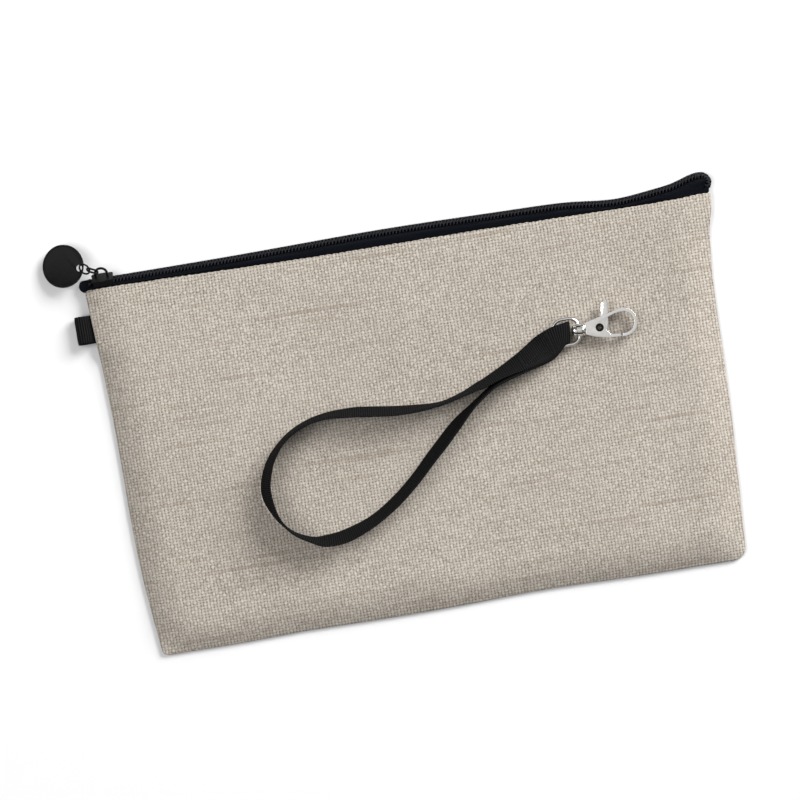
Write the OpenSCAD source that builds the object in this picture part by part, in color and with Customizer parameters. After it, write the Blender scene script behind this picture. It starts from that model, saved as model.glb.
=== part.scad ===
// Cash deposit bag: a flat zippered pouch in stiff woven fabric, with a webbing side tab,
// a slider with link, ring and round pull disc, and a loose webbing wrist strap with a swivel clasp.
// The pouch lies on its back. X runs along the zipper, Y points at the zipper, Z is up.

/* [Pouch] */
// Half width of the fabric at its zipper edge
half_top = 139.2; // [100:0.1:180]
// Half width of the fabric at its bottom edge
half_bottom = 129.6; // [90:0.1:180]
// Y of the bottom edge
y_low = -82; // [-120:0.5:-50]
// Y of the zipper edge
y_top = 80; // [50:0.5:120]
// Corner radius of the fabric
corner_r = 3; // [1:0.5:12]
// Height of the flat middle of the front panel
flat_z = 8; // [5:0.5:20]
// Thickness of the woven fabric
fabric_t = 0.9; // [0.5:0.1:2]
// Thickness of the lining
lining_t = 0.35; // [0.2:0.05:1]
// Width of the puffed slope along the seams
slope_w = 16; // [8:1:30]

/* [Zipper] */
// Y of the middle of the coils
zip_y = 84.4; // [82:0.1:90]
// Height of the middle of the coils
zip_z = 5.1; // [4:0.1:8]
// Turn of the zipper face away from straight up, degrees
zip_tilt = 55; // [0:1:90]
// Thickness of the tape
tape_t = 0.35; // [0.2:0.05:0.8]
// Spacing of the coil turns
coil_pitch = 1.5; // [1:0.1:3]
// X of the slider when the pouch is closed
slider_x = -130.6; // [-135:0.1:-120]

/* [Pull] */
// Diameter of the round pull disc
disc_d = 19; // [14:0.5:26]
// Thickness of the disc inside its rim
disc_t = 0.8; // [0.6:0.1:2]
// Radius of the middle line of the jump ring
ring_r = 2.5; // [1.5:0.1:5]
// Wire diameter of the jump ring
ring_wire = 0.8; // [0.5:0.1:1.5]

/* [Webbing] */
// Width of the wrist strap webbing
strap_w = 12.7; // [8:0.1:25]
// Thickness of the wrist strap webbing
strap_t = 1.1; // [0.6:0.1:2]
// Width of the side tab webbing
tab_w = 12.4; // [8:0.1:25]

/* [Clasp] */
// Y of the swivel axis
clasp_y = 29.2; // [20:0.1:40]
// Height of the swivel axis over the front panel
clasp_lift = 3.42; // [3:0.01:8]
// Thickness of the hook
hook_t = 4.2; // [3:0.1:6]
// Radius of the swivel pin
pin_r = 1.25; // [0.8:0.05:2]
// Radius of the gate rivet
rivet_r = 1.2; // [0.8:0.05:2]

/* [Hidden] */
$fn = 48;
strap_floor = flat_z + 0.12;
clasp_z = flat_z + clasp_lift;
pivot = [81.2, 28.8];

// ---- helpers ----
function mix(a, b, t) = a + (b - a) * t;
function rise(t) = let (u = min(1, max(0, t))) u * u * (3 - 2 * u);
function half_x(y) = mix(half_bottom, half_top, (y - y_low) / (y_top - y_low));

// Where points lie along a long edge and up a side edge: closer where the height changes
long_steps = [0, 0.015, 0.03, 0.045, 0.065, 0.3, 0.7, 0.935, 0.955, 0.97, 0.985, 1];
side_steps = [0, 0.1, 0.4, 0.76, 0.8, 0.84, 0.88, 0.94, 1];

// A rounded outline of the pouch, moved inward by d and ending below y_end
function edge_loop(d, y_end) =
    let (r = corner_r, a = y_low + d, b = y_end - d)
    concat(
        [for (t = long_steps) let (h = half_x(a) - d - r) [mix(-h, h, t), a]],
        [for (t = [-67.5:22.5:-22.5]) [half_x(a + r) - d - r + r * cos(t), a + r + r * sin(t)]],
        [for (t = side_steps) let (y = mix(a + r, b - r, t)) [half_x(y) - d, y]],
        [for (t = [22.5:22.5:67.5]) [half_x(b - r) - d - r + r * cos(t), b - r + r * sin(t)]],
        [for (t = long_steps) let (h = half_x(b) - d - r) [mix(h, -h, t), b]],
        [for (t = [112.5:22.5:157.5]) [-half_x(b - r) + d + r + r * cos(t), b - r + r * sin(t)]],
        [for (i = [len(side_steps) - 1:-1:0]) let (y = mix(a + r, b - r, side_steps[i])) [-half_x(y) + d, y]],
        [for (t = [202.5:22.5:247.5]) [-half_x(a + r) + d + r + r * cos(t), a + r + r * sin(t)]]
    );

// Height of the front panel's outer edge along the seams: more where tab and tape are caught
function seam_z(x, y) = 2.2 + (x < 0 ? 2.0 * rise((y - 44) / 10) : 0.9 * rise((y - 58) / 12));

// Height of the front panel's outer face
function front_z(x, y) =
    let (d = min(half_x(y) - abs(x), y - y_low))
    mix(seam_z(x, y), flat_z, rise(d / slope_w));

// A closed skin over loops that all have the same number of points
module skin(loops) {
    n = len(loops[0]);
    k = len(loops);
    polyhedron(
        points = [for (l = loops) for (p = l) p],
        faces = concat(
            [[for (i = [n - 1:-1:0]) i]],
            [for (j = [0:k - 2]) for (i = [0:n - 1])
                [j * n + i, j * n + (i + 1) % n, (j + 1) * n + (i + 1) % n]],
            [for (j = [0:k - 2]) for (i = [0:n - 1])
                [j * n + i, (j + 1) * n + (i + 1) % n, (j + 1) * n + i]],
            [[for (i = [0:n - 1]) (k - 1) * n + i]]
        )
    );
}

// A closed skin whose first and last loops are filled by fans from their middles
module domed(loops) {
    n = len(loops[0]);
    k = len(loops);
    low = [0, 0, loops[0][0].z];
    high = [0, 0, loops[k - 1][0].z];
    polyhedron(
        points = concat([for (l = loops) for (p = l) p], [low, high]),
        faces = concat(
            [for (i = [0:n - 1]) [(i + 1) % n, i, n * k]],
            [for (j = [0:k - 2]) for (i = [0:n - 1])
                [j * n + i, j * n + (i + 1) % n, (j + 1) * n + (i + 1) % n]],
            [for (j = [0:k - 2]) for (i = [0:n - 1])
                [j * n + i, (j + 1) * n + (i + 1) % n, (j + 1) * n + i]],
            [for (i = [0:n - 1]) [(k - 1) * n + i, (k - 1) * n + (i + 1) % n, n * k + 1]]
        )
    );
}

// A shallow dish under the front face: top face lowered by down, thickness t
module dish(down, t, start, y_end) {
    steps = [slope_w, 12, 8, 5, 2.5, 0];
    insets = [for (s = steps) if (s > start) s];
    all_in = concat(insets, [start]);
    k = len(all_in);
    under = [for (d = all_in) [for (p = edge_loop(d, y_end)) [p.x, p.y, front_z(p.x, p.y) - down - t]]];
    over = [for (i = [k - 1:-1:0])
        [for (p = edge_loop(all_in[i], y_end)) [p.x, p.y, front_z(p.x, p.y) - down]]];
    domed(concat(under, over));
}

// One corner of a sweep: point, width vector and thickness vector
function corners(c, w, h) = [c - w / 2 - h / 2, c + w / 2 - h / 2, c + w / 2 + h / 2, c - w / 2 + h / 2];
function unit(v) = v / norm(v);
function curve(a, b, c, d, t) = 0.5 * (2 * b + (c - a) * t + (2 * a - 5 * b + 4 * c - d) * t * t
    + (3 * b - a - 3 * c + d) * t * t * t);
function smooth_line(s, n) = concat(
    [for (i = [0:len(s) - 2]) for (k = [0:n - 1])
        curve(s[max(i - 1, 0)], s[i], s[i + 1], s[min(i + 2, len(s) - 1)], k / n)],
    [s[len(s) - 1]]);

// A flat ribbon along stations of [x, y, z, width vector x, y, z]
module ribbon(stations, t) {
    k = len(stations);
    loops = [for (i = [0:k - 1])
        let (a = stations[max(i - 1, 0)], b = stations[min(i + 1, k - 1)], s = stations[i],
            go = unit([b[0] - a[0], b[1] - a[1], b[2] - a[2]]),
            w = [s[3], s[4], s[5]], h = unit(cross(go, w)) * t)
        corners([s[0], s[1], s[2]], w, h)];
    skin(loops);
}

// A thin strip in the YZ plane whose middle line changes along X
module tape_strip(lines) {
    loops = [for (l = lines) let (x = l[0], p = l[1], k = len(p))
        let (side = [for (i = [0:k - 1]) let (g = unit(p[min(i + 1, k - 1)] - p[max(i - 1, 0)]))
            [-g.y, g.x] * tape_t / 2])
        concat([for (i = [0:k - 1]) [x, p[i].x + side[i].x, p[i].y + side[i].y]],
            [for (i = [k - 1:-1:0]) [x, p[i].x - side[i].x, p[i].y - side[i].y]])];
    skin(loops);
}

// From the zipper's own frame, across s and outward w, to Y and Z
function zip_at(s, w) = [zip_y - cos(zip_tilt) * s + sin(zip_tilt) * w,
    zip_z + sin(zip_tilt) * s + cos(zip_tilt) * w];
module in_zip(x) translate([x, zip_y, zip_z]) rotate([-zip_tilt, 0, 0]) children();

tape_xs = [-137.6, -136, -134, -131, -128, -125, -122, -118, 118, 122, 125, 128, 131, 134, 136, 137.6];

// ---- pouch ----
module back_panel() color("tan") linear_extrude(fabric_t) polygon(edge_loop(0, y_top));
module front_panel() color("tan") dish(0, fabric_t, 0, y_top);
module back_lining() color("dimgray") translate([0, 0, fabric_t + 0.15])
    linear_extrude(lining_t) polygon(edge_loop(5, 72));
module front_lining() color("dimgray") dish(fabric_t + 0.15, lining_t, 5, 77);

// A thin bound edge inside a seam, from y0 to y1 on the side given by dir
module side_binding(dir, y0, y1) color("dimgray") translate([0, 0, fabric_t + 0.02])
    linear_extrude(0.2) polygon([
        [dir * (half_x(y0) - 0.8), y0], [dir * (half_x(y1) - 0.8), y1],
        [dir * (half_x(y1) - 4.2), y1], [dir * (half_x(y0) - 4.2), y0]]);
module seam_binding_left() side_binding(-1, -77, 52);
module seam_binding_right() side_binding(1, -77, 70);
module seam_binding_bottom() color("dimgray") translate([-120, y_low + 0.8, fabric_t + 0.02])
    cube([240, 3.4, 0.2]);

// ---- zipper ----
module front_tape() color("black") tape_strip([for (x = tape_xs)
    let (z5 = min(6.8, front_z(x, 79.6) - 1.35), z6 = min(6.8, front_z(x, 73) - 1.35))
    [x, [[73, z6], [76, mix(z6, z5, 0.5)], [79.4, z5], [80.4, z5 + 0.25],
        [81.2, max(6.85, mix(z5 + 0.25, zip_at(3, -0.9)[1], 0.5) + 0.33)], zip_at(3, -0.9), zip_at(0.7, -0.9)]]]);
module back_tape() color("black") {
    p = [[73, 1.15], [79.4, 1.15], [80.4, 1.05], [81.5, 0.45], [82.5, 0.3], [84.8, 0.32], [85.6, 0.5],
        [86, 0.95], [85.9, 1.5], zip_at(-3, -0.9), zip_at(-0.7, -0.9)];
    k = len(p);
    side = [for (i = [0:k - 1]) let (g = unit(p[min(i + 1, k - 1)] - p[max(i - 1, 0)])) [-g.y, g.x] * tape_t / 2];
    translate([-137.6, 0, 0]) rotate([90, 0, 90]) linear_extrude(275.2) polygon(concat(
        [for (i = [0:k - 1]) p[i] + side[i]], [for (i = [k - 1:-1:0]) p[i] - side[i]]));
}

// One row of coil turns with its spine, reaching past the middle by 0.55
module coil_row(dir, shift) {
    x0 = -132.6;
    count = 177;
    pts = concat([[x0, 2.3], [x0, 1.1]],
        [for (i = [0:count - 1]) for (q = [[0.1, 1.1], [0.16, -0.55], [0.6, -0.55], [0.66, 1.1]])
            [x0 + shift + i * coil_pitch + q.x, q.y]],
        [[x0 + count * coil_pitch + 0.9, 1.1], [x0 + count * coil_pitch + 0.9, 2.3]]);
    in_zip(0) translate([0, 0, -0.65]) linear_extrude(1.3) polygon([for (p = pts) [p.x, dir * p.y]]);
}
module back_coil() color("dimgray") coil_row(1, 0);
module front_coil() color("dimgray") coil_row(-1, coil_pitch / 2);

module top_stop(dir) in_zip(-136.3) translate([-0.6, dir > 0 ? 0.9 : -2.5, -0.65]) cube([1.2, 1.6, 1.3]);
module top_stop_front() color("silver") top_stop(-1);
module top_stop_back() color("silver") top_stop(1);
module bottom_stop() color("silver") in_zip(134.9) translate([-0.6, -2.1, -0.65]) cube([1.4, 4.2, 1.4]);

// ---- slider and pull ----
module slider_shape() polygon([[-4.8, -2.2], [-4.1, -3.5], [0.6, -3.5], [4.8, -3], [4.8, 3],
    [0.6, 3.5], [-4.1, 3.5], [-4.8, 2.2], [-4.3, 0.6], [-4.3, -0.6]]);
module slider_body() color("black") in_zip(slider_x) {
    translate([0, 0, -2.25]) linear_extrude(0.8) scale([1, 0.74]) slider_shape();
    translate([0, 0, 1.15]) linear_extrude(0.85) slider_shape();
    translate([0, 0, -1.5]) linear_extrude(2.7) polygon([[-4.3, -0.5], [-3.5, -0.5], [-3, 0], [-3.5, 0.5], [-4.3, 0.5]]);
    for (s = [-1, 1]) translate([0, 0, -0.45]) linear_extrude(1.7)
        polygon([[-3.6, s * 2.75], [-3.9, s * 3.5], [0.6, s * 3.5], [4.6, s * 3.02], [4.6, s * 2.6], [0.6, s * 2.75]]);
}
module slider_bridge() color("black") in_zip(slider_x) {
    for (x = [-2.6, 2.6]) translate([x, 0, 2]) cylinder(r = 0.55, h = 2);
    translate([0, 0, 4]) rotate([90, 0, 0]) rotate_extrude(angle = 180) translate([2.6, 0]) circle(0.55, $fn = 24);
}

// A closed wire loop of two half rings and two straight sides, from a to b along X
module wire_link(a, b, r, wire) {
    translate([a + r, 0, 0]) rotate([0, 0, 90]) rotate_extrude(angle = 180) translate([r, 0]) circle(wire, $fn = 24);
    translate([b - r, 0, 0]) rotate([0, 0, -90]) rotate_extrude(angle = 180) translate([r, 0]) circle(wire, $fn = 24);
    for (s = [-1, 1]) translate([a + r, s * r, 0]) rotate([0, 90, 0]) cylinder(r = wire, h = b - a - 2 * r, $fn = 24);
}
module pull_link() color("black") in_zip(slider_x) translate([-2.252, 0, 5.3]) rotate([0, 210, 0])
    wire_link(-1.15, 3.8, 1.3, 0.45);

// The ring leans from the link down into the hole of the disc
ring_go = unit([-0.87, 0.32, -0.375]);
ring_side = unit([0.04, 0.8, 0.6] - ([0.04, 0.8, 0.6] * ring_go) * ring_go);
ring_up = cross(ring_go, ring_side);
ring_c = [-135.19, 89.85, 8.92] + ring_go * ring_r;
module framed(a, b, c, o) multmatrix([[a.x, b.x, c.x, o.x], [a.y, b.y, c.y, o.y], [a.z, b.z, c.z, o.z], [0, 0, 0, 1]])
    children();
module pull_ring() color("black") framed(ring_go, ring_side, ring_up, ring_c)
    rotate_extrude() translate([ring_r, 0]) circle(ring_wire / 2, $fn = 24);

// The disc leans on the table at its far edge
disc_go = unit([-0.93, 0.27, -0.25]);
disc_side = unit(cross([-0.36, 0.1, 0.927], disc_go));
disc_up = cross(disc_go, disc_side);
disc_c = ring_c + ring_go * ring_r + disc_go * 7.7;
module pull_disc() color("black") framed(disc_go, disc_side, disc_up, disc_c) difference() {
    union() {
        translate([0, 0, -disc_t / 2]) cylinder(r = disc_d / 2, h = disc_t, $fn = 96);
        translate([0, 0, disc_t / 2 - 0.05]) difference() {
            cylinder(r = disc_d / 2, h = 0.2, $fn = 96);
            translate([0, 0, -0.1]) cylinder(r = disc_d / 2 - 0.8, h = 0.5, $fn = 96);
            translate([-disc_d / 2, 0, 0]) cylinder(r = 3, h = 2, center = true);
        }
    }
    translate([-7.55, 0, 0]) cylinder(r = 1.45, h = 3, center = true);
}

// ---- side tab ----
tab_line = concat([[-133.9, 1.5], [-138.6, 1.5], [-140, 1.2], [-141.3, 0.74]],
    [for (a = [-90:-15:-255]) [-142.8 + 2.65 * cos(a), 3.3 + 2.65 * sin(a)]],
    [[-141.7, 5.7], [-140.5, 4.9], [-139.7, 3.7], [-138.9, 2.8], [-138.5, 2.68], [-133.9, 2.68]]);
module side_tab() color("black") {
    k = len(tab_line);
    side = [for (i = [0:k - 1]) let (g = unit(tab_line[min(i + 1, k - 1)] - tab_line[max(i - 1, 0)]))
        [-g.y, g.x] * 0.5];
    translate([0, 58 + tab_w, 0]) rotate([90, 0, 0]) linear_extrude(tab_w) polygon(concat(
        [for (i = [0:k - 1]) tab_line[i] + side[i]],
        [for (i = [k - 1:-1:0]) tab_line[i] - side[i]]));
}

// ---- wrist strap ----
// Cut end under the clasp, round the eye, and up to the doubled part
fold_stations = [
    [58.6, 24.7, 8.69, -3.5, 12, 0], [62, 26.6, 8.76, -1.8, 11.3, 0], [65.2, 28.2, 8.95, 0.9, 10.2, 0],
    [67, 28.9, 9.6, 1.2, 9.5, 0], [67.7, 29, 10.9, 1.2, 9.3, 0], [67, 28.9, 12.2, 1.2, 9.5, 0],
    [65.2, 28.2, 13, 0.9, 10.2, -0.2], [61.5, 26.6, 13.3, -2, 11.6, -0.8], [58, 24.9, 12.9, -4.1, 11.7, -2.2],
    [54.5, 23.4, 12.5, -4.6, 10.9, -4.7], [51, 21.9, 13.1, -4, 9.4, -7.5]];
// Middle line of the loop on the panel: x, y, lean of the webbing in degrees, lift
loop_plan = [
    [45.9, 19.8, -50, 0.8], [42.5, 18.6, -57, 0.6], [39.4, 17.5, -63, 0.4], [34, 15.5, -70, 0.1],
    [27.8, 13, -74, 0], [24.6, 12, -76, 0], [17, 9.5, -83, 0], [7, 7.1, -84, 0], [-5, 6.8, -76, 0],
    [-16.7, 7.7, -72, 0], [-30.4, 9.5, -72, 0], [-44.4, 9.8, -79, 0], [-54.8, 7.2, -81, 0], [-63, 2.4, -81, 0],
    [-69.7, -5.2, -75, 0], [-73.5, -14.2, -70, 0], [-73.9, -21.7, -70, 0], [-70.9, -31, -81, 0],
    [-65.4, -38, -90, 0], [-58, -42.3, -97, 0], [-51.6, -43.9, -109, 0], [-42.1, -43, -113, 0],
    [-30, -38.6, -109, 0], [-18.6, -31.6, -109, 0], [-8.9, -23.6, -109, 0], [-1, -15.9, -110, 0],
    [4.3, -10.9, -111, 0], [12.6, -3, -109, 0], [20.5, 3.6, -99, 0], [29, 9.6, -97, 0], [34.7, 13, -104, 0],
    [40.4, 16.2, -118, 0], [46.3, 18.9, -130, 0], [51.2, 21.2, -146, 0], [54.5, 22.8, -160, 0],
    [57.1, 24.1, -172, 0]];
function loop_station(i) =
    let (k = len(loop_plan), p = loop_plan[i], a = loop_plan[max(i - 1, 0)], b = loop_plan[min(i + 1, k - 1)],
        g = unit([b.x - a.x, b.y - a.y]), r = p[2])
    [p.x, p.y, strap_floor + strap_t / 2 * abs(cos(r)) + strap_w / 2 * abs(sin(r)) + p[3],
        strap_w * cos(r) * g.y, -strap_w * cos(r) * g.x, strap_w * sin(r)];
strap_line = smooth_line(concat(fold_stations, [for (i = [0:len(loop_plan) - 1]) loop_station(i)]), 3);
module wrist_strap() color("black") ribbon(strap_line, strap_t);

// A strip of thread on the outer face of the doubled part, a share q from its middle, from station a to b
module stitch_row(a, b, q) ribbon([for (i = [a:b])
    let (s = strap_line[i], t = strap_line[i + 1], go = unit([t[0] - s[0], t[1] - s[1], t[2] - s[2]]),
        w = [s[3], s[4], s[5]], n = unit(cross(go, w)), c = [s[0], s[1], s[2]] + w * q - n * (strap_t / 2 + 0.2))
    [c.x, c.y, c.z, w.x * 0.03, w.y * 0.03, w.z * 0.03]], 0.3);
module strap_stitching() color("dimgray") for (q = [-0.36, 0.36]) stitch_row(23, 34, q);

// ---- clasp ----
module along_x(x) translate([x, clasp_y, clasp_z]) rotate([0, 90, 0]) children();
module clasp_eye() color("silver") difference() {
    union() {
        for (s = [-1, 1]) {
            translate([65.1, clasp_y + s * 5.7, clasp_z]) rotate([0, 90, 0]) cylinder(r = 0.75, h = 3, $fn = 24);
            translate([65.1, clasp_y + s * 1.5, clasp_z]) rotate([0, 0, s > 0 ? 90 : 180])
                rotate_extrude(angle = 90) translate([4.2, 0]) circle(0.75, $fn = 24);
            translate([68.1, clasp_y + s * 1.5, clasp_z]) rotate([0, 0, s > 0 ? 0 : -90])
                rotate_extrude(angle = 90) translate([4.2, 0]) circle(0.75, $fn = 24);
        }
        for (x = [60.9, 72.3]) translate([x, clasp_y - 1.5, clasp_z]) rotate([-90, 0, 0])
            cylinder(r = 0.75, h = 3, $fn = 24);
        along_x(71.2) cylinder(r = 3, h = 2.2);
    }
    along_x(70) cylinder(r = pin_r + 0.05, h = 5);
}
module swivel_rivet() color("silver") along_x(0) rotate_extrude() polygon([[0, 68.9], [1.2, 69], [2, 69.4],
    [2.4, 70.1], [2.4, 71.1], [pin_r, 71.1], [pin_r, 76.6], [0, 76.6]]);
module clasp_collar() color("silver") along_x(0) rotate_extrude() polygon([[pin_r + 0.02, 73.5],
    [2.7, 73.5], [3, 73.8], [3, 74.4], [2.6, 74.9], [pin_r + 0.02, 74.9]]);
module hook_shape() {
    c = [91.8, 29.5];
    polygon(concat(
        [[75, 26.6], [79, 25], [84.4, 23.9], [85.6, 24.2], [85.2, 25.6], [83.9, 27.4], [83.8, 30.2], [84.9, 32.6],
            [88, 33.7]],
        [for (a = [102:-6:-102]) c + 4.75 * [cos(a), sin(a)]],
        [for (a = [-102:6:102]) c + 6.2 * [cos(a), sin(a)]],
        [[75, 31.8]]));
}
module clasp_body() color("silver") difference() {
    translate([0, 0, clasp_z - hook_t / 2]) linear_extrude(hook_t) hook_shape();
    translate([78.4, 22, clasp_z - 1]) cube([8.2, 16, 2]);
    translate([pivot.x, pivot.y, clasp_z - 4]) cylinder(r = rivet_r + 0.02, h = 8);
    along_x(74) cylinder(r = pin_r + 0.01, h = 2.65);
}
module gate_pivot() color("silver") translate([pivot.x, pivot.y, clasp_z]) rotate_extrude() polygon([
    [0.95, -2.4], [1.6, -2.4], [1.85, -2.14], [rivet_r, -2.14], [rivet_r, 2.14], [1.85, 2.14], [1.6, 2.4], [0.95, 2.4]]);
module lever_arm() linear_extrude(1.7) polygon([[80, 26.9], [84.6, 23.9], [90.1, 23.45], [90.1, 24.75],
    [85.8, 25.1], [84.3, 27.6], [85.3, 30.2], [86.4, 38.2], [86.3, 39.2], [85.6, 39.9], [84.6, 40], [83.8, 39.5],
    [83.4, 38.6], [82, 31], [79.6, 28.8]]);
module gate_lever() color("silver") difference() {
    union() {
        translate([0, 0, clasp_z - 0.85]) lever_arm();
        translate([pivot.x, pivot.y, clasp_z]) cylinder(r = 2.4, h = 0.85);
    }
    translate([pivot.x, pivot.y, clasp_z - 4]) cylinder(r = rivet_r + 0.06, h = 8);
    translate([pivot.x, pivot.y, clasp_z - 1]) cylinder(r = 2.2, h = 1);
}
module gate_spring() color("silver") for (z = [-0.7, -0.22]) translate([pivot.x, pivot.y, clasp_z + z])
    rotate_extrude() translate([1.68, 0]) circle(0.2, $fn = 16);

back_panel();
front_panel();
back_lining();
front_lining();
seam_binding_left();
seam_binding_right();
seam_binding_bottom();
back_tape();
front_tape();
back_coil();
front_coil();
top_stop_front();
top_stop_back();
bottom_stop();
slider_body();
slider_bridge();
pull_link();
pull_ring();
pull_disc();
side_tab();
wrist_strap();
strap_stitching();
clasp_eye();
swivel_rivet();
clasp_collar();
clasp_body();
gate_lever();
gate_pivot();
gate_spring();
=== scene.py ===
import math

import bmesh
import bpy
import numpy as np
from mathutils import Matrix, Vector, noise


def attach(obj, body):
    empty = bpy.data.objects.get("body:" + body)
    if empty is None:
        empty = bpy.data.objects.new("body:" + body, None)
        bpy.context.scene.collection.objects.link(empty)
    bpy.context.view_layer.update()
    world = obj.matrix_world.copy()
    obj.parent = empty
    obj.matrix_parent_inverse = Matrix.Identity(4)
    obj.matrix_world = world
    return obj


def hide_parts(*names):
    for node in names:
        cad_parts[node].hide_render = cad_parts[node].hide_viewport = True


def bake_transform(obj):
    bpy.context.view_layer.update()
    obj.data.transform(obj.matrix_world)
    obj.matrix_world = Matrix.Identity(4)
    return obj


MM = 0.001
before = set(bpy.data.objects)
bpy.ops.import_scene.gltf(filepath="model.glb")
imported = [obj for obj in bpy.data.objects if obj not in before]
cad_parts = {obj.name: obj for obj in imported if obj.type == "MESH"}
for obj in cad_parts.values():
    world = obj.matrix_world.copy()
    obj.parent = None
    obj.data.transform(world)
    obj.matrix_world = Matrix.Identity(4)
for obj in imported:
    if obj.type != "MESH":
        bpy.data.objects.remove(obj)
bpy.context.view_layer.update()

# ---------------------------------------------------------------- camera, lights, floor
TURN = math.radians(-9.3)
MIDDLE = (-0.0100, 0.0116)
LENS, SENSOR = 120, 36
BAG_HEIGHT, HALF_VIEW = 0.008, 0.1755


def camera():
    """A camera straight overhead, whose frame is 2 x HALF_VIEW wide at the bag's height."""
    data = bpy.data.cameras.new("camera")
    data.lens = LENS
    data.sensor_width = SENSOR
    data.clip_start = 0.01
    data.clip_end = 20
    cam = bpy.data.objects.new("camera", data)
    cam.location = (*MIDDLE, BAG_HEIGHT + HALF_VIEW * LENS / (SENSOR / 2))
    cam.rotation_euler = (0, 0, TURN)
    bpy.context.scene.collection.objects.link(cam)
    bpy.context.scene.camera = cam


def area_light(name, where, size, power):
    """A square lamp that points at the origin."""
    data = bpy.data.lights.new(name, "AREA")
    data.energy = power
    data.shape = "SQUARE"
    data.size = size
    lamp = bpy.data.objects.new(name, data)
    lamp.location = where
    lamp.rotation_euler = (-Vector(where)).to_track_quat("-Z", "Y").to_euler()
    bpy.context.scene.collection.objects.link(lamp)


def studio_world():
    """A pale studio, bright overhead, with a dim band round it that metal can reflect."""
    world = bpy.data.worlds.new("world")
    bpy.context.scene.world = world
    world.use_nodes = True
    tree = world.node_tree
    back = tree.nodes["Background"]
    where = tree.nodes.new("ShaderNodeTexCoord")
    parts = tree.nodes.new("ShaderNodeSeparateXYZ")
    ramp = tree.nodes.new("ShaderNodeValToRGB")
    tree.links.new(where.outputs["Generated"], parts.inputs[0])
    tree.links.new(parts.outputs[2], ramp.inputs[0])
    tree.links.new(ramp.outputs[0], back.inputs["Color"])
    stops = (
        (0.0, 0.9), (0.1, 0.9), (0.2, 0.06), (0.62, 0.05), (0.74, 0.85), (0.93, 0.85), (1.0, 1.35),
    )
    elements = ramp.color_ramp.elements
    while len(elements) < len(stops):
        elements.new(0.5)
    for e, (at, tone) in zip(elements, stops):
        e.position = at
        e.color = (tone, tone, tone * 1.01, 1)
    back.inputs["Strength"].default_value = 0.6


def stage():
    studio_world()
    area_light("key", (1.9, 1.35, 1.5), 1.5, 128)
    area_light("fill", (-0.9, 0.1, 1.5), 0.9, 17)
    mesh = bpy.data.meshes.new("floor")
    mesh.from_pydata([(-3, -3, 0), (3, -3, 0), (3, 3, 0), (-3, 3, 0)], [], [(0, 1, 2, 3)])
    floor = bpy.data.objects.new("floor", mesh)
    bpy.context.scene.collection.objects.link(floor)
    mesh.materials.append(floor_paint())


# ---------------------------------------------------------------- materials
class Paint:
    """A node material with short helpers for its procedural parts."""

    def __init__(self, name):
        self.mat = bpy.data.materials.new(name)
        self.mat.use_nodes = True
        self.tree = self.mat.node_tree
        self.shader = self.tree.nodes["Principled BSDF"]
        self.where = self.tree.nodes.new("ShaderNodeTexCoord")

    def link(self, a, b):
        self.tree.links.new(a, b)

    def set(self, **values):
        for key, value in values.items():
            self.shader.inputs[key.replace("_", " ")].default_value = value
        return self

    def colour(self, source):
        self.link(source, self.shader.inputs["Base Color"])

    def roughness(self, source):
        self.link(source, self.shader.inputs["Roughness"])

    def value(self, thing, socket):
        """Sets a socket to a number or links it to another node."""
        if isinstance(thing, (int, float)):
            socket.default_value = thing
        else:
            self.link(thing, socket)

    def math(self, kind, a, b=0.0, c=0.0):
        n = self.tree.nodes.new("ShaderNodeMath")
        n.operation = kind
        self.value(a, n.inputs[0])
        self.value(b, n.inputs[1])
        self.value(c, n.inputs[2])
        return n.outputs[0]

    def coords(self, source="Object"):
        n = self.tree.nodes.new("ShaderNodeSeparateXYZ")
        self.link(self.where.outputs[source], n.inputs[0])
        return n.outputs[0], n.outputs[1], n.outputs[2]

    def vector(self, x, y, z=0.0):
        n = self.tree.nodes.new("ShaderNodeCombineXYZ")
        self.value(x, n.inputs[0])
        self.value(y, n.inputs[1])
        self.value(z, n.inputs[2])
        return n.outputs[0]

    def noise(self, vector, scale=1.0, detail=2.0, rough=0.5):
        n = self.tree.nodes.new("ShaderNodeTexNoise")
        self.link(vector, n.inputs["Vector"])
        n.inputs["Scale"].default_value = scale
        n.inputs["Detail"].default_value = detail
        n.inputs["Roughness"].default_value = rough
        return n.outputs[0]

    def span(self, v, a, b, c, d):
        n = self.tree.nodes.new("ShaderNodeMapRange")
        self.link(v, n.inputs["Value"])
        for key, number in (("From Min", a), ("From Max", b), ("To Min", c), ("To Max", d)):
            n.inputs[key].default_value = number
        return n.outputs[0]

    def ramp(self, v, stops):
        n = self.tree.nodes.new("ShaderNodeValToRGB")
        self.link(v, n.inputs[0])
        while len(n.color_ramp.elements) < len(stops):
            n.color_ramp.elements.new(0.5)
        for e, (at, colour) in zip(n.color_ramp.elements, stops):
            e.position = at
            e.color = (*colour, 1)
        return n.outputs[0]

    def mix(self, share, a, b):
        """One colour over another by a share from 0 to 1."""
        n = self.tree.nodes.new("ShaderNodeMix")
        n.data_type = "RGBA"
        self.value(share, n.inputs[0])
        self.link(a, n.inputs[6])
        n.inputs[7].default_value = (*b, 1)
        return n.outputs[2]

    def cell(self, u, v):
        """A steady random number for each whole cell."""
        n = self.tree.nodes.new("ShaderNodeTexWhiteNoise")
        n.noise_dimensions = "2D"
        self.link(self.vector(self.math("FLOOR", u), self.math("FLOOR", v)), n.inputs["Vector"])
        return n.outputs[0]

    def bump(self, height, strength, distance):
        n = self.tree.nodes.new("ShaderNodeBump")
        n.inputs["Strength"].default_value = strength
        n.inputs["Distance"].default_value = distance
        self.link(height, n.inputs["Height"])
        self.link(n.outputs[0], self.shader.inputs["Normal"])


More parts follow.
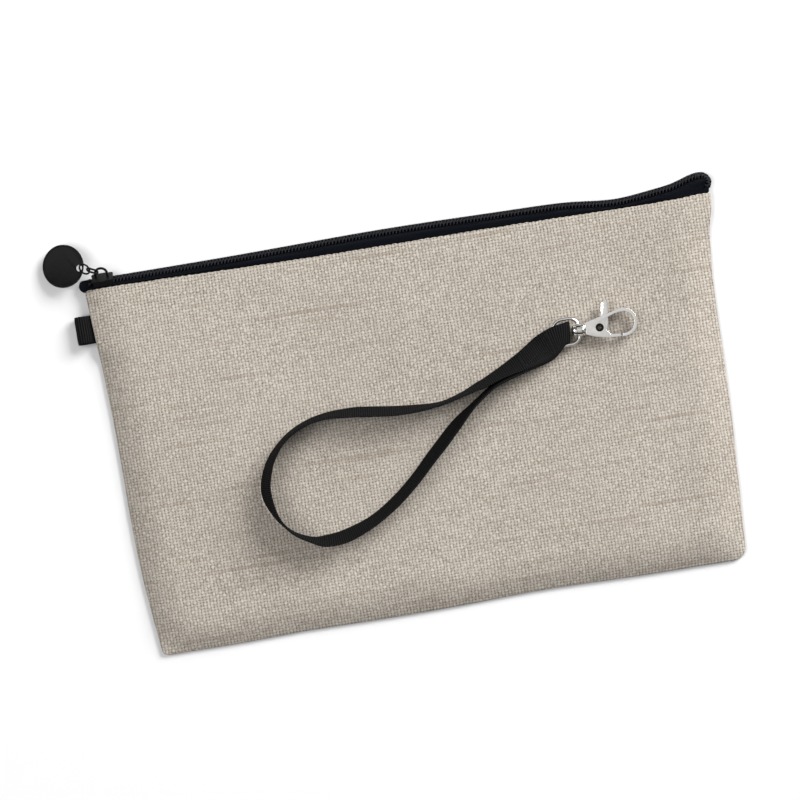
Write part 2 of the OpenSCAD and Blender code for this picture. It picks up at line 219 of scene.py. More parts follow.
def floor_paint():
    p = Paint("floor")
    x, y, z = p.coords()
    tone = p.noise(p.vector(x, y), 3.0, 2.0)
    p.colour(p.ramp(tone, [(0.0, (0.65, 0.65, 0.652)), (1.0, (0.66, 0.66, 0.662))]))
    return p.set(Roughness=0.9).mat


def wave(p, turn, power):
    """Rounded ridges one unit apart."""
    return p.math("POWER", p.math("ABSOLUTE", p.math("SINE", p.math("MULTIPLY", turn, math.pi))), power)


def weave(p, x, y, column, row):
    """A plain weave with stronger columns than rows: its height, and its turns across and up."""
    drift = p.noise(p.vector(x, y), 70.0, 2.0)
    wiggle = p.noise(p.vector(y, x), 260.0, 1.0)
    sway = p.math("MULTIPLY", p.math("SUBTRACT", drift, 0.5), 0.6)
    u = p.math("ADD", p.math("DIVIDE", x, column), sway)
    u = p.math("ADD", u, p.math("MULTIPLY", p.math("SUBTRACT", wiggle, 0.5), 0.35))
    v = p.math("ADD", p.math("DIVIDE", y, row), sway)
    su = p.math("SINE", p.math("MULTIPLY", u, math.pi))
    sv = p.math("SINE", p.math("MULTIPLY", v, math.pi))
    dip_u = p.math("SUBTRACT", 1.0, wave(p, u, 0.55))
    dip_v = p.math("SUBTRACT", 1.0, wave(p, v, 0.45))
    hole = p.math("MULTIPLY", p.math("MULTIPLY", dip_u, dip_v), 0.85)
    lines = p.math("ADD", p.math("MULTIPLY", dip_u, 0.32), p.math("MULTIPLY", dip_v, 0.16))
    over = p.math("MULTIPLY", p.math("MULTIPLY", su, sv), 0.07)
    return p.math("SUBTRACT", p.math("ADD", 0.92, over), p.math("ADD", hole, lines)), u, v


def linen():
    """Beige cloth with uneven yarns 1.46 mm and 1.3 mm apart, and long brown slubs."""
    p = Paint("linen")
    x, y, z = p.coords()
    height, u, v = weave(p, x, y, 0.00146, 0.0013)
    spot = p.cell(u, v)
    fleck = p.noise(p.vector(x, y, z), 1700.0, 2.0, 0.7)
    broad = p.noise(p.vector(x, y), 14.0, 3.0)
    # The weave's height goes into the colour as well as the bump: painted shade in the dips and pits
    # between the yarns, and painted highlight on their crowns.
    tone = p.math("SUBTRACT", height, 0.12)
    tone = p.math("ADD", tone, p.math("MULTIPLY", p.math("SUBTRACT", spot, 0.5), 0.17))
    tone = p.math("ADD", tone, p.math("MULTIPLY", p.math("SUBTRACT", fleck, 0.5), 1.5))
    tone = p.math("ADD", tone, p.math("MULTIPLY", p.math("SUBTRACT", broad, 0.5), 0.2))
    colour = p.ramp(tone, [(0.0, (0.075, 0.063, 0.05)), (0.3, (0.182, 0.158, 0.131)),
                           (0.66, (0.325, 0.291, 0.25)), (1.0, (0.47, 0.43, 0.378))])
    each_row = p.math("MULTIPLY", p.math("FLOOR", v), 0.731)
    slub = p.noise(p.vector(p.math("MULTIPLY", x, 15.0), each_row), 1.0, 1.0)
    p.colour(p.mix(p.span(slub, 0.6, 0.74, 0.0, 0.4), colour, (0.17, 0.132, 0.092)))
    p.bump(height, 0.5, 0.00035)
    p.roughness(p.span(tone, 0, 1, 0.95, 0.8))
    return p.set(Sheen_Weight=0.04, Sheen_Roughness=0.5, Specular_IOR_Level=0.15).mat


def lining_cloth():
    p = Paint("lining_cloth")
    x, y, z = p.coords()
    height, u, v = weave(p, x, y, 0.0005, 0.00045)
    yarn = p.cell(u, v)
    # The weave's height is painted into the colour too: painted shade in the dips between the yarns.
    tone = p.math("ADD", p.math("MULTIPLY", height, 0.6), p.math("MULTIPLY", yarn, 0.4))
    p.colour(p.ramp(tone, [(0.0, (0.02, 0.02, 0.024)), (1.0, (0.06, 0.06, 0.068))]))
    p.bump(height, 0.4, 0.0002)
    p.roughness(p.span(yarn, 0, 1, 0.8, 0.6))
    return p.set(Sheen_Weight=0.2, Specular_IOR_Level=0.3).mat


def tape_cloth():
    """Blue-black zipper tape: a fine slanting weave with fuzz on it."""
    p = Paint("tape_cloth")
    x, y, z = p.coords()
    across = p.math("ADD", y, z)
    lines = p.math("SINE", p.math("MULTIPLY", p.math("ADD", x, across), 2 * math.pi / 0.0009))
    rows = p.math("SINE", p.math("MULTIPLY", across, 2 * math.pi / 0.0006))
    fuzz = p.noise(p.vector(x, y, z), 2200.0, 2.0, 0.7)
    tone = p.math("ADD", p.math("MULTIPLY", p.math("ADD", lines, rows), 0.2), fuzz)
    p.colour(p.ramp(tone, [(0.2, (0.0012, 0.0015, 0.0026)), (0.9, (0.006, 0.0075, 0.0115))]))
    p.bump(tone, 0.5, 0.0002)
    p.roughness(p.span(fuzz, 0, 1, 0.9, 0.65))
    return p.set(Specular_IOR_Level=0.035).mat


def coil_plastic():
    p = Paint("coil_plastic")
    x, y, z = p.coords()
    tone = p.noise(p.vector(x, y, z), 900.0, 2.0)
    p.colour(p.ramp(tone, [(0.2, (0.003, 0.003, 0.005)), (0.9, (0.012, 0.0125, 0.017))]))
    p.roughness(p.span(tone, 0, 1, 0.28, 0.5))
    return p.set(Specular_IOR_Level=0.14).mat


def webbing():
    """Black ribbed webbing, with painted highlight on its rib crests; the ribs run across it and U is
    along it, in metres.
    """
    p = Paint("webbing")
    u, v, w = p.coords("UV")
    x, y, z = p.coords()
    rib = p.math("SINE", p.math("MULTIPLY", u, 2 * math.pi / 0.00095))
    half = p.math("SINE", p.math("MULTIPLY", v, 2 * math.pi / 0.0011))
    fuzz = p.noise(p.vector(x, y, z), 2600.0, 2.0, 0.75)
    checks = p.math("MULTIPLY", p.math("MULTIPLY", rib, half), 0.18)
    ribs = p.math("ADD", p.math("MULTIPLY", rib, 0.35), checks)
    tone = p.math("ADD", p.math("ADD", ribs, 0.35), p.math("MULTIPLY", fuzz, 0.5))
    # The ramp's light end is painted highlight on the rib crests; the fuzz and the checks of the weave
    # give the webbing's own uneven tone.
    p.colour(p.ramp(tone, [(0.1, (0.0012, 0.0012, 0.0013)), (0.55, (0.0035, 0.0035, 0.0038)),
                           (1.0, (0.017, 0.017, 0.018))]))
    p.bump(tone, 0.6, 0.0003)
    p.roughness(p.span(fuzz, 0, 1, 0.9, 0.62))
    return p.set(Specular_IOR_Level=0.035).mat


def thread(name, low, high):
    p = Paint(name)
    x, y, z = p.coords()
    slant = p.math("ADD", p.math("ADD", x, y), z)
    twist = p.math("SINE", p.math("MULTIPLY", slant, 2 * math.pi / 0.0005))
    tone = p.math("ADD", p.math("MULTIPLY", twist, 0.3), p.noise(p.vector(x, y, z), 1500.0))
    p.colour(p.ramp(tone, [(0.1, low), (0.9, high)]))
    p.bump(tone, 0.5, 0.0001)
    return p.set(Roughness=0.6, Specular_IOR_Level=0.12).mat


def metal(name, low, high, rough_low, rough_high, metallic=1.0, gloss=0.5):
    """Smeared, finely scratched metal or black paint between two tones."""
    p = Paint(name)
    x, y, z = p.coords()
    smear = p.noise(p.vector(x, y, z), 260.0, 3.0, 0.6)
    grain = p.noise(p.vector(p.math("MULTIPLY", x, 3.0), y, z), 1900.0, 2.0, 0.6)
    tone = p.math("ADD", p.math("MULTIPLY", smear, 0.7), p.math("MULTIPLY", grain, 0.3))
    p.colour(p.ramp(tone, [(0.25, low), (0.75, high)]))
    p.roughness(p.span(tone, 0.2, 0.8, rough_low, rough_high))
    p.bump(tone, 0.12, 0.0002)
    return p.set(Metallic=metallic, Specular_IOR_Level=gloss).mat


# ---------------------------------------------------------------- mesh helpers
def piece(name, verts, faces, paint, body=None, nodes=(), uvs=None, smooth=True):
    """A mesh from points in millimetres, riding on a body and standing for CAD nodes."""
    mesh = bpy.data.meshes.new(name)
    mesh.from_pydata([tuple(c * MM for c in v) for v in verts], [], faces)
    mesh.update()
    mesh.materials.append(paint)
    if uvs is not None:
        layer = mesh.uv_layers.new(name="along")
        index = np.zeros(len(mesh.loops), np.int32)
        mesh.loops.foreach_get("vertex_index", index)
        layer.data.foreach_set("uv", (np.array(uvs, np.float32)[index] * MM).ravel())
    if smooth:
        mesh.polygons.foreach_set("use_smooth", [True] * len(mesh.polygons))
    ob = bpy.data.objects.new(name, mesh)
    bpy.context.scene.collection.objects.link(ob)
    if body:
        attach(ob, body)
    if nodes:
        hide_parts(*nodes)
    return ob


def tube_faces(rings, sides, wrap=False):
    """Faces of a loft of rings, with its ends closed or the last ring joined to the first."""
    faces = []
    last = rings if wrap else rings - 1
    for i in range(last):
        a, b = i * sides, (i + 1) % rings * sides
        for j in range(sides):
            k = (j + 1) % sides
            faces.append((a + j, a + k, b + k, b + j))
    if not wrap:
        faces.append(tuple(range(sides - 1, -1, -1)))
        faces.append(tuple((rings - 1) * sides + j for j in range(sides)))
    return faces


def smoothstep(t):
    t = min(1.0, max(0.0, t))
    return t * t * (3 - 2 * t)


def mix(a, b, t):
    return a + (b - a) * t


def rough(x, y, scale, seed):
    """Smooth unevenness from about -1 to 1."""
    return noise.noise(Vector((x * scale, y * scale, seed)))


def bevelled(name, node, paint, body, width, segments=3, angle=32):
    """A rounded-edge copy of a CAD node, which it stands for."""
    bm = bmesh.new()
    bm.from_mesh(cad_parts[node].data)
    bmesh.ops.remove_doubles(bm, verts=bm.verts, dist=2e-6)
    bmesh.ops.dissolve_limit(bm, angle_limit=math.radians(0.6), verts=bm.verts, edges=bm.edges)
    mesh = bpy.data.meshes.new(name)
    bm.to_mesh(mesh)
    bm.free()
    mesh.materials.append(paint)
    mesh.polygons.foreach_set("use_smooth", [True] * len(mesh.polygons))
    ob = bpy.data.objects.new(name, mesh)
    bpy.context.scene.collection.objects.link(ob)
    bevel = ob.modifiers.new("edges", "BEVEL")
    bevel.width = width * MM
    bevel.segments = segments
    bevel.limit_method = "ANGLE"
    bevel.angle_limit = math.radians(angle)
    bevel.harden_normals = True
    if body:
        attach(ob, body)
    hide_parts(node)
    return ob


def open_with_mouth(ob):
    """Bakes the piece's placement into its mesh; it rides on no body."""
    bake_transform(ob)


# ---------------------------------------------------------------- pouch
HALF_TOP, HALF_BOTTOM, LOW, TOP = 139.2, 129.6, -82.0, 80.0
EDGE, CROWN = 1.75, 7.95
SEAM, LINING_TOP = 5, 72


def half_x(y):
    return mix(HALF_BOTTOM, HALF_TOP, (y - LOW) / (TOP - LOW))


def corner_cut(y, low, top, right):
    """How far a rounded corner pulls the side in at y."""
    for near, r in ((y - low, 5.0 if right else 2.2), (top - y, 0.5)):
        if near < r:
            return r - math.sqrt(max(0.0, r * r - (r - near) ** 2))
    return 0.0


def bell(x, middle, width):
    return math.exp(-((x - middle) / width) ** 2)


def top_drift(x):
    """How far the mouth edge runs off a straight line."""
    sag = 1.6 * smoothstep((x + 138) / 110) + 0.75 * smoothstep((x - 30) / 80)
    return 0.95 - sag + 0.9 * smoothstep((x - 122) / 16)


def settled(x, y):
    """Where a point of the flat pattern lies, since the sewn cloth isn't cut quite straight."""
    if x < 0:
        dx = -3.0 * bell(y, -42, 48) * smoothstep(-x / 135)
    else:
        dx = (1.3 * smoothstep((y - 63) / 12) - 2.1 * bell(y, 42, 36)) * smoothstep(x / 135)
    low = 0.8 * bell(x, 40, 30) - 0.5 * bell(x, -25, 40) - 0.9 * smoothstep((-x - 60) / 40)
    dy = top_drift(x) * smoothstep((y + 20) / 100) + low * smoothstep((-20 - y) / 60)
    return x + dx, y + dy


def puff(t):
    """A rounded rise from 0 at the seam to 1 inside."""
    return 1 - (1 - min(1.0, max(0.0, t))) ** 2.3


def front_z(x, y):
    """Height of the front panel's outer face, with the slack of real cloth."""
    side, low = half_x(y) - abs(x), y - LOW
    edge = EDGE
    if x < 0:
        edge += 2.55 * smoothstep((y - 47) / 9)
    else:
        edge += 1.5 * smoothstep((y - 60) / 12)
    z = mix(edge, CROWN, puff(side / 19) * puff(low / 18))
    z -= 0.5 * smoothstep((y - 70) / 10) * smoothstep(side / 20)
    inner = smoothstep(side / 26) * smoothstep(low / 24)
    z -= inner * (0.45 + 0.45 * rough(x, y, 0.022, 3.1) + 0.12 * rough(x, y, 0.07, 8.2))
    ridge = (1 - smoothstep((side - 3) / 26)) * smoothstep(side / 4)
    ridge += (1 - smoothstep((low - 3) / 26)) * smoothstep(low / 4)
    z += 0.32 * ridge * rough(x * 0.7 + y * 0.7, y - x, 0.055, 5.5)
    return z


def cloth_grid(name, low, top, inset, steps, over, under, paint, body, nodes):
    """A closed sheet over the pouch outline, from functions for its two faces."""
    nx, ny = steps
    rows = []
    for j in range(ny + 1):
        t = j / ny
        t = t - math.sin(2 * math.pi * t) / (2 * math.pi) * 0.55
        y = mix(low, top, t)
        h = half_x(y) - inset
        row = []
        for i in range(nx + 1):
            s = i / nx * 2 - 1
            s = s + math.sin(math.pi * s) / math.pi * 0.45
            row.append((s * (h - corner_cut(y, low, top, s > 0)), y))
        rows.append(row)
    verts = [(*settled(x, y), over(x, y)) for row in rows for x, y in row]
    verts += [(*settled(x, y), under(x, y)) for row in rows for x, y in row]
    n, w = (nx + 1) * (ny + 1), nx + 1
    faces = []
    for j in range(ny):
        for i in range(nx):
            a, b, c, d = j * w + i, j * w + i + 1, (j + 1) * w + i + 1, (j + 1) * w + i
            faces.append((a, b, c, d))
            faces.append((n + d, n + c, n + b, n + a))
    rim = [i for i in range(w)] + [j * w + nx for j in range(1, ny + 1)]
    rim += [ny * w + i for i in range(nx - 1, -1, -1)] + [j * w for j in range(ny - 1, 0, -1)]
    for a, b in zip(rim, rim[1:] + rim[:1]):
        faces.append((a, n + a, n + b, b))
    return piece(name, verts, faces, paint, body, nodes)


def back_under_z(x, y):
    """Height of the back panel's resting face, which lifts off the table at its seams."""
    side = min(half_x(y) - abs(x), y - LOW)
    return 0.35 * (1 - smoothstep(side / 3.0)) + 0.02


def level(height):
    return lambda x, y: height


def below_front(depth):
    return lambda x, y: front_z(x, y) - depth


def make_panels(paints):
    """The front and back cloth, each one sheet."""
    steps = ((190, 112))
    front = cloth_grid("front_cloth", LOW, TOP, 0, steps, front_z, below_front(0.8),
                       paints["linen"], None, ["front_panel"])
    open_with_mouth(front)
    back = cloth_grid("back_cloth", LOW, TOP, 0, steps, level(0.9), back_under_z,
                      paints["linen"], "bag", ["back_panel"])


def make_linings(paints):
    """The two linings, smaller than the panels by the seams."""
    low, steps = LOW + SEAM, (70, 40)
    front = cloth_grid("front_lining_cloth", low, LINING_TOP, SEAM, steps, below_front(0.95),
                       below_front(1.3), paints["lining"], None, ["front_lining"])
    open_with_mouth(front)
    back = cloth_grid("back_lining_cloth", low, LINING_TOP, SEAM, steps, level(1.4), level(1.05),
                      paints["lining"], "bag", ["back_lining"])


def make_hem(paints):
    """The folded top edge of the front panel, scalloped by the weave."""
    sides, lobes = 8, 94
    each = 8
    count = lobes * each
    verts = []
    for i in range(count + 1):
        x = mix(-138.3, 138.3, i / count)
        swell = abs(math.sin(math.pi * i / each)) ** 0.8
        r = 0.3 + (0.26 + 0.16 * rough(i // each, 3, 0.77, 1.0)) * swell
        y = TOP + top_drift(x) - 0.1 + 0.12 * rough(x, 0, 0.12, 4.0)
        z = front_z(x, TOP) - 0.42
        for j in range(sides):
            a = 2 * math.pi * j / sides
            verts.append((x, y + r * math.cos(a), z + 0.46 * math.sin(a)))
    hem = piece("front_hem", verts, tube_faces(count + 1, sides), paints["linen"])
    open_with_mouth(hem)


def binding(node, points, paint):
    """A flat strip of binding inside a seam."""
    line = [Vector((*settled(x, y), 1.02)) for x, y in points]
    verts = []
    for i, p in enumerate(line):
        go = (line[min(i + 1, len(line) - 1)] - line[max(i - 1, 0)]).normalized()
        side = Vector((-go.y, go.x, 0)) * 1.7
        for a, b in ((-1, -0.1), (1, -0.1), (1, 0.1), (-1, 0.1)):
            verts.append(tuple(p + side * a + Vector((0, 0, b))))
    faces = tube_faces(len(line), 4)
    piece(node + "_cloth", verts, faces, paint, "bag", [node], smooth=False)


def make_bindings(paints):
    inset, steps = 2.5, 24
    for name, sign, top in (("left", -1, 52), ("right", 1, 70)):
        heights = [mix(LOW + SEAM, top, t / steps) for t in range(steps + 1)]
        points = [(sign * (half_x(y) - inset), y) for y in heights]
        binding("seam_binding_" + name, points, paints["lining"])
    points = [(mix(-120, 120, t / steps), LOW + inset) for t in range(steps + 1)]
    binding("seam_binding_bottom", points, paints["lining"])


# ---------------------------------------------------------------- zipper
ZIP_Y, ZIP_Z, TILT = 84.4, 5.1, math.radians(55)
PITCH, TURN_LONG, TURN_HIGH, WIRE = 1.5, 1.4, 0.42, 0.25
END_X, END_R = 136.2, 3.3


def curl(x):
    """How far the chain runs off a straight line: slack, a dip, and a hump at its right end."""
    return 1.1 * bell(x, -5, 52) - 2.3 * bell(x, 98, 17) + 3.4 * bell(x, 135.5, 9.5)


def on_chain(x, out, z):
    """A point out from the chain's line, which turns down into the seam at its right end."""
    if x <= END_X:
        return x, ZIP_Y + curl(x) + out, z
    middle = ZIP_Y + curl(END_X) - END_R
    out = max(out, -END_R)
    turn = min(math.pi / 2, (x - END_X) / END_R)
    past = max(0.0, x - END_X - END_R * math.pi / 2)
    z *= 1 - 0.28 * smoothstep((x - END_X) / 9)
    x = END_X + (END_R + out) * math.sin(turn) - 0.4 * past
    return x, middle + (END_R + out) * math.cos(turn) - past, z


def zip_at(s, w):
    """Out and height of a point across the tilted chain, from S across it and W above it."""
    c, n = math.cos(TILT), math.sin(TILT)
    return n * w - c * s, ZIP_Z + n * s + c * w


def strip_loft(name, xs, line_at, thick, paint, body, nodes):
    """A thin strip lofted along X from a line in Y and Z at each place."""
    verts, uv, sides = [], [], 0
    for x in xs:
        line = [Vector(p) for p in line_at(x)]
        k = len(line)
        offs = []
        for i in range(k):
            go = (line[min(i + 1, k - 1)] - line[max(i - 1, 0)]).normalized()
            offs.append(Vector((-go.y, go.x)) * thick / 2)
        ring = [line[i] + offs[i] for i in range(k)] + [line[i] - offs[i] for i in range(k - 1, -1, -1)]
        sides = len(ring)
        verts += [on_chain(x, p.x, p.y) for p in ring]
        uv += [(x, i * 0.7) for i in list(range(k)) + list(range(k - 1, -1, -1))]
    return piece(name, verts, tube_faces(len(xs), sides), paint, body, nodes, uvs=uv)


def curved(points, per):
    """A smooth line through points, with PER steps between each two."""
    pts = [np.array(p, float) for p in points]
    out = []
    for i in range(len(pts) - 1):
        a, b, c, d = pts[max(i - 1, 0)], pts[i], pts[i + 1], pts[min(i + 2, len(pts) - 1)]
        for k in range(per):
            t = k / per
            out.append(0.5 * (2 * b + (c - a) * t + (2 * a - 5 * b + 4 * c - d) * t * t
                              + (3 * b - a - 3 * c + d) * t ** 3))
    out.append(pts[-1])
    return out


def from_chain(x, points):
    """Points given by Y and Z in the flat pattern, as distances out from the chain."""
    shift = top_drift(min(x, 138)) - curl(min(x, END_X))
    out = []
    for y, z in points:
        share = smoothstep((y - 80.6) / 3)
        out.append((y - ZIP_Y + shift * (1 - share), z))
    return out


def front_tape_line(x):
    """The front tape across its width: under the cloth, over its edge and up to the chain."""
    z5 = min(6.75, front_z(x, 79.6) - 1.15)
    z6 = min(6.75, front_z(x, 73) - 1.15)
    pts = from_chain(x, [(73, z6), (76, mix(z6, z5, 0.5)), (79.4, z5), (80.4, z5 + 0.25)])
    rim = zip_at(3, -0.9)
    last = pts[-1]
    between = (mix(last[0], rim[0], 0.55), max(5.9, mix(last[1], rim[1], 0.5) + 0.3))
    pts += [between, rim, zip_at(0.6, -0.9)]
    return [tuple(p) for p in curved(pts, 3)]


def back_tape_line(x):
    """The back tape across its width: out on the table, round and up to the chain."""
    pts = from_chain(x, [(73, 1.15), (79.4, 1.15), (80.4, 1.05)])
    pts += [(-2.6, 0.45), (-1.6, 0.3), (0.5, 0.32), (1.2, 0.5), (1.6, 0.95), (1.5, 1.5)]
    pts += [zip_at(-3, -0.9), zip_at(-0.6, -0.9)]
    return [tuple(p) for p in curved(pts, 2)]


def zip_row(name, sign, shift, paint, node, body):
    """One row of coil turns: flat loops of round filament that lean a little along the row."""
    verts, faces = [], []
    turns = 184
    stations, sides = ((12, 6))
    for i in range(turns):
        x0 = -132.2 + shift + i * PITCH
        base = len(verts)
        for k in range(stations):
            a = 2 * math.pi * k / stations
            c, n = math.cos(a), math.sin(a)
            s = sign * (0.9 - TURN_LONG * c)
            w = TURN_HIGH * n
            x = x0 + TURN_HIGH * c + 0.1 * n
            go = Vector((-TURN_HIGH * n, sign * TURN_LONG * n, TURN_HIGH * c)).normalized()
            up = Vector((0, -sign * c * TURN_HIGH, n * TURN_LONG)).normalized()
            side = go.cross(up).normalized()
            up = side.cross(go)
            for j in range(sides):
                b = 2 * math.pi * j / sides
                off = up * (WIRE * math.cos(b)) + side * (WIRE * math.sin(b))
                y, z = zip_at(s + off.y, w + off.z)
                verts.append(on_chain(x + off.x, y, z))
        faces += [tuple(base + f for f in face) for face in tube_faces(stations, sides, wrap=True)]
    return piece(name, verts, faces, paint, body, [node])


def tape_stitches(paints):
    """Rows of short stitches that hold the coils to the tapes."""
    thick = 0.13
    for name, s, body in (("front_tape_stitch", 2.55, None), ("back_tape_stitch", -2.55, "bag")):
        verts, faces = [], []
        for i in range(183):
            x = -131.5 + i * PITCH
            base = len(verts)
            for k in range(4):
                y, z = zip_at(s, -0.66 + 0.12 * math.sin(math.pi * k / 3))
                for j in range(5):
                    b = 2 * math.pi * j / 5
                    out, up = y + thick * math.cos(b), z + thick * math.sin(b)
                    verts.append(on_chain(x + k * 0.34, out, up))
            faces += [tuple(base + f for f in face) for face in tube_faces(4, 5)]
        ob = piece(name, verts, faces, paints["thread"], body)
        if not body:
            open_with_mouth(ob)


def tape_end(name, outline, low, high, paint):
    """The folded end of the tapes: a small pad with a soft edge."""
    line = [tuple(p) for p in curved(outline + outline[:1], 4)][:-1]
    cx = sum(x for x, y in line) / len(line)
    cy = sum(y for x, y in line) / len(line)
    verts = []
    for share, z in ((0.9, low), (1.0, low + 0.3), (1.0, high - 0.5), (0.9, high - 0.15), (0.6, high)):
        verts += [(mix(cx, x, share), mix(cy, y, share), z) for x, y in line]
    return piece(name, verts, tube_faces(5, len(line)), paint, "bag")


def make_zipper(paints):
    tape = paints["tape"]
    right = [(131, 80), (138.2, 79.6), (139.4, 82), (139.9, 84.2), (138.9, 86.3), (136.4, 87.3),
             (133, 86.2)]
    left = [(-134.5, 80.9), (-139.3, 80.6), (-141.2, 82), (-141.4, 84), (-140.3, 85.7), (-137.5, 86),
            (-134.5, 85.6)]
    tape_end("right_tape_end", right, 2.4, 4.2, tape)
    tape_end("left_tape_end", left, 1.3, 3.9, tape)
    xs = [mix(-137.6, END_X, t / 240) for t in range(241)]
    xs += [END_X + 0.45 * t for t in range(1, 18)]
    front = strip_loft("front_tape_cloth", xs, front_tape_line, 0.34, tape, None,
                       ["front_tape"])
    open_with_mouth(front)
    strip_loft("back_tape_cloth", xs, back_tape_line, 0.34, tape, "bag", ["back_tape"])
    row = zip_row("front_coil_row", 1, 0.75, paints["coil"], "front_coil", None)
    open_with_mouth(row)
    zip_row("back_coil_row", -1, 0.0, paints["coil"], "back_coil", "bag")
    tape_stitches(paints)
    black = paints["black_metal"]
    open_with_mouth(bevelled("front_stop", "top_stop_front", black, None, 0.25))
    bevelled("back_stop", "top_stop_back", black, "bag", 0.25)
    end = bevelled("end_stop", "bottom_stop", black, "bag", 0.35)
    end.data.transform(Matrix.Translation((0, curl(134.9) * MM, 0)))


def make_pull(paints):
    black = paints["black_metal"]
    bevelled("slider", "slider_body", black, "slider", 0.28)
    bevelled("bridge", "slider_bridge", black, "slider", 0.1, 2, 60)
    bevelled("link", "pull_link", black, "link", 0.05, 1, 80)
    bevelled("jump_ring", "pull_ring", black, "ring", 0.05, 1, 80)
    bevelled("disc", "pull_disc", paints["black_disc"], "disc", 0.12, 3)


# ---------------------------------------------------------------- webbing
def flat_ring(w, t):
    """A flattened cross-section of webbing, thinner at its selvages."""
    n = 5
    pts = []
    for side in (-1, 1):
        for i in range(n * 2 + 1):
            a = side * (1 - i / n)
            pts.append((a * w / 2, side * t / 2 * (1 - 0.45 * abs(a) ** 8)))
    return pts


def ribbon(name, stations, thick, paint, body, nodes):
    """Webbing swept along stations of centre and width vector, with U along it."""
    verts, uvs, along, sides = [], [], 0.0, 0
    k = len(stations)
    centres = [Vector(s[:3]) for s in stations]
    for i, s in enumerate(stations):
        c, w = centres[i], Vector(s[3:6])
        if i:
            along += (c - centres[i - 1]).length
        go = (centres[min(i + 1, k - 1)] - centres[max(i - 1, 0)]).normalized()
        up = go.cross(w.normalized()).normalized()
        ring = flat_ring(w.length, thick)
        sides = len(ring)
        for a, b in ring:
            verts.append(tuple(c + w.normalized() * a + up * b))
            uvs.append((along, a))
    ob = piece(name, verts, tube_faces(k, sides), paint, body, nodes, uvs=uvs)
    return ob, along


# FOLD: centre and width vector where the strap turns round the clasp eye.
# LOOP: centre in the plane, lean of the width in degrees, and lift off the bag.
STRAP_FLOOR, STRAP_W, STRAP_T = 8.12, 12.7, 1.1
FOLD = [
    (58.6, 24.7, 8.69, -3.5, 12, 0), (62, 26.6, 8.76, -1.8, 11.3, 0), (65.2, 28.2, 8.95, 0.9, 10.2, 0),
    (67, 28.9, 9.6, 1.2, 9.5, 0), (67.7, 29, 10.9, 1.2, 9.3, 0), (67, 28.9, 12.2, 1.2, 9.5, 0),
    (65.2, 28.2, 13, 0.9, 10.2, -0.2), (61.5, 26.6, 13.3, -2, 11.6, -0.8),
    (58, 24.9, 12.9, -4.1, 11.7, -2.2), (54.5, 23.4, 12.5, -4.6, 10.9, -4.7),
    (51, 21.9, 13.1, -4, 9.4, -7.5)]
LOOP = [
    (45.9, 19.8, -50, 0.8), (42.5, 18.6, -57, 0.6), (39.4, 17.5, -63, 0.4), (34, 15.5, -70, 0.1),
    (27.8, 13, -74, 0), (24.6, 12, -76, 0), (17, 9.5, -83, 0), (7, 7.1, -84, 0), (-5, 6.8, -76, 0),
    (-16.7, 7.7, -72, 0), (-30.4, 9.5, -72, 0), (-44.4, 9.8, -79, 0), (-54.8, 7.2, -81, 0),
    (-63, 2.4, -81, 0), (-69.7, -5.2, -75, 0), (-73.5, -14.2, -70, 0), (-73.9, -21.7, -70, 0),
    (-70.9, -31, -81, 0), (-65.4, -38, -90, 0), (-58, -42.3, -97, 0), (-51.6, -43.9, -109, 0),
    (-42.1, -43, -113, 0), (-30, -38.6, -109, 0), (-18.6, -31.6, -109, 0), (-8.9, -23.6, -109, 0),
    (-1, -15.9, -110, 0), (4.3, -10.9, -111, 0), (12.6, -3, -109, 0), (20.5, 3.6, -99, 0),
    (29, 9.6, -97, 0), (34.7, 13, -104, 0), (40.4, 16.2, -118, 0), (46.3, 18.9, -130, 0),
    (51.2, 21.2, -146, 0), (54.5, 22.8, -160, 0), (57.1, 24.1, -172, 0)]


def loop_stations():
    """Centre and width vector along the loop, which stands mostly on edge on the bag."""
    out = []
    for i, (x, y, lean, lift) in enumerate(LOOP):
        a, b = LOOP[max(i - 1, 0)], LOOP[min(i + 1, len(LOOP) - 1)]
        g = Vector((b[0] - a[0], b[1] - a[1])).normalized()
        c, s = math.cos(math.radians(lean)), math.sin(math.radians(lean))
        z = STRAP_FLOOR + STRAP_T / 2 * abs(c) + STRAP_W / 2 * abs(s) + lift
        out.append((x, y, z, STRAP_W * c * g.y, -STRAP_W * c * g.x, STRAP_W * s))
    return out


def on_strap(line, at, across, lift):
    """A point on the outer face of the webbing, across its width from -0.5 to 0.5."""
    i = int(at)
    a, b = line[i], line[i + 1]
    s = a + (b - a) * (at - i)
    go = Vector((b - a)[:3]).normalized()
    w = Vector(s[3:6])
    up = w.cross(go).normalized()
    return Vector(s[:3]) + w * across + up * (STRAP_T / 2 + lift)


def stitch(line, p, q):
    """Points of one arched stitch between two places on the webbing."""
    verts = []
    for k in range(5):
        t = k / 4
        lift = 0.02 + 0.14 * math.sin(math.pi * t)
        c = on_strap(line, mix(p[0], q[0], t), mix(p[1], q[1], t), lift)
        for j in range(6):
            turn = 2 * math.pi * j / 6
            verts.append(tuple(c + 0.17 * Vector((math.cos(turn), math.sin(turn), 0))))
    return verts


def make_stitches(line, per, paints):
    """A sewn box with a cross in it, which closes the loop."""
    first, last, edge = 7.7 * per, 11.2 * per, 0.38
    rows = (((first, -edge), (last, -edge), 8), ((first, edge), (last, edge), 8),
            ((first, -edge), (first, edge), 6), ((last, -edge), (last, edge), 6),
            ((first, -edge), (last, edge), 9), ((first, edge), (last, -edge), 9))
    verts, faces = [], []
    for a, b, count in rows:
        for i in range(count):
            p = [mix(a[k], b[k], (i + 0.1) / count) for k in (0, 1)]
            q = [mix(a[k], b[k], (i + 0.85) / count) for k in (0, 1)]
            base = len(verts)
            verts += stitch(line, p, q)
            faces += [tuple(base + f for f in face) for face in tube_faces(5, 6)]
    piece("strap_stitches", verts, faces, paints["thread"], "strap", ["strap_stitching"])


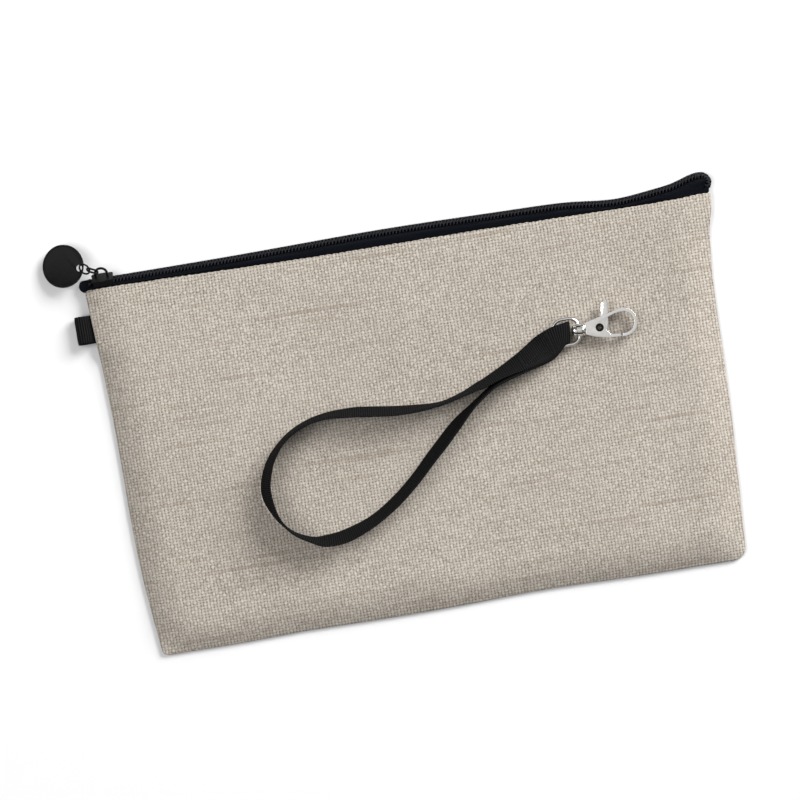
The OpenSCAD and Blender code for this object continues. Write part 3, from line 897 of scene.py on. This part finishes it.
def make_strap(paints):
    per = 9
    line = curved(FOLD + loop_stations(), per)
    ob, length = ribbon("wrist_strap_webbing", line, STRAP_T, paints["webbing"], "strap",
                        ["wrist_strap"])
    make_stitches(line, per, paints)


def make_tab(paints):
    """A short loop of webbing folded into the left seam."""
    arc = []
    for a in range(-90, -256, -15):
        arc.append((-142.8 + 2.65 * math.cos(math.radians(a)), 3.3 + 2.65 * math.sin(math.radians(a))))
    line = [(-133.9, 1.5), (-138.6, 1.5), (-140, 1.2), (-141.3, 0.74)] + arc
    line += [(-141.7, 5.7), (-140.5, 4.9), (-139.7, 3.7), (-138.9, 2.8), (-138.5, 2.68), (-133.9, 2.68)]
    stations = [(p[0], 64.2, p[1], 0, 12.4, 0) for p in curved(line, 3)]
    ribbon("side_tab_webbing", stations, 1.0, paints["webbing"], "bag", ["side_tab"])


# ---------------------------------------------------------------- clasp
def make_clasp(paints):
    nickel = paints["nickel"]
    bevelled("eye", "clasp_eye", nickel, "strap", 0.25, 3, 40)
    bevelled("swivel_pin", "swivel_rivet", nickel, "hook", 0.15, 2, 40)
    bevelled("collar", "clasp_collar", nickel, "hook", 0.15, 2, 30)
    bevelled("hook", "clasp_body", nickel, "hook", 0.6, 5, 30)
    bevelled("lever", "gate_lever", nickel, "gate", 0.35, 4, 30)
    # The gate rivet takes the black paint as painted shade: it stands for the dark hole round the
    # pivot, not a black part.
    bevelled("gate_rivet", "gate_pivot", paints["black_metal"], "hook", 0.08, 2, 40)
    bevelled("spring", "gate_spring", nickel, "hook", 0.02, 1, 80)


def make_paints():
    return {
        "linen": linen(),
        "lining": lining_cloth(),
        "tape": tape_cloth(),
        "coil": coil_plastic(),
        "webbing": webbing(),
        "thread": thread("dark_thread", (0.002, 0.002, 0.0022), (0.008, 0.008, 0.009)),
        # Black paint for the slider, stops and pull; on the gate rivet it is painted shade.
        "black_metal": metal("black_metal", (0.004, 0.004, 0.0045), (0.007, 0.007, 0.0075),
                             0.3, 0.5, 0.0, 0.07),
        "black_disc": metal("black_disc", (0.0015, 0.0015, 0.0017), (0.005, 0.005, 0.0054),
                            0.2, 0.34, 0.0, 0.035),
        "nickel": metal("nickel", (0.72, 0.70, 0.67), (0.86, 0.85, 0.82), 0.08, 0.2),
    }


def main():
    camera()
    stage()
    paints = make_paints()
    make_panels(paints)
    make_linings(paints)
    make_hem(paints)
    make_bindings(paints)
    make_zipper(paints)
    make_pull(paints)
    make_tab(paints)
    make_strap(paints)
    make_clasp(paints)
    bpy.context.scene.view_settings.view_transform = "Standard"
    bpy.context.view_layer.update()


main()
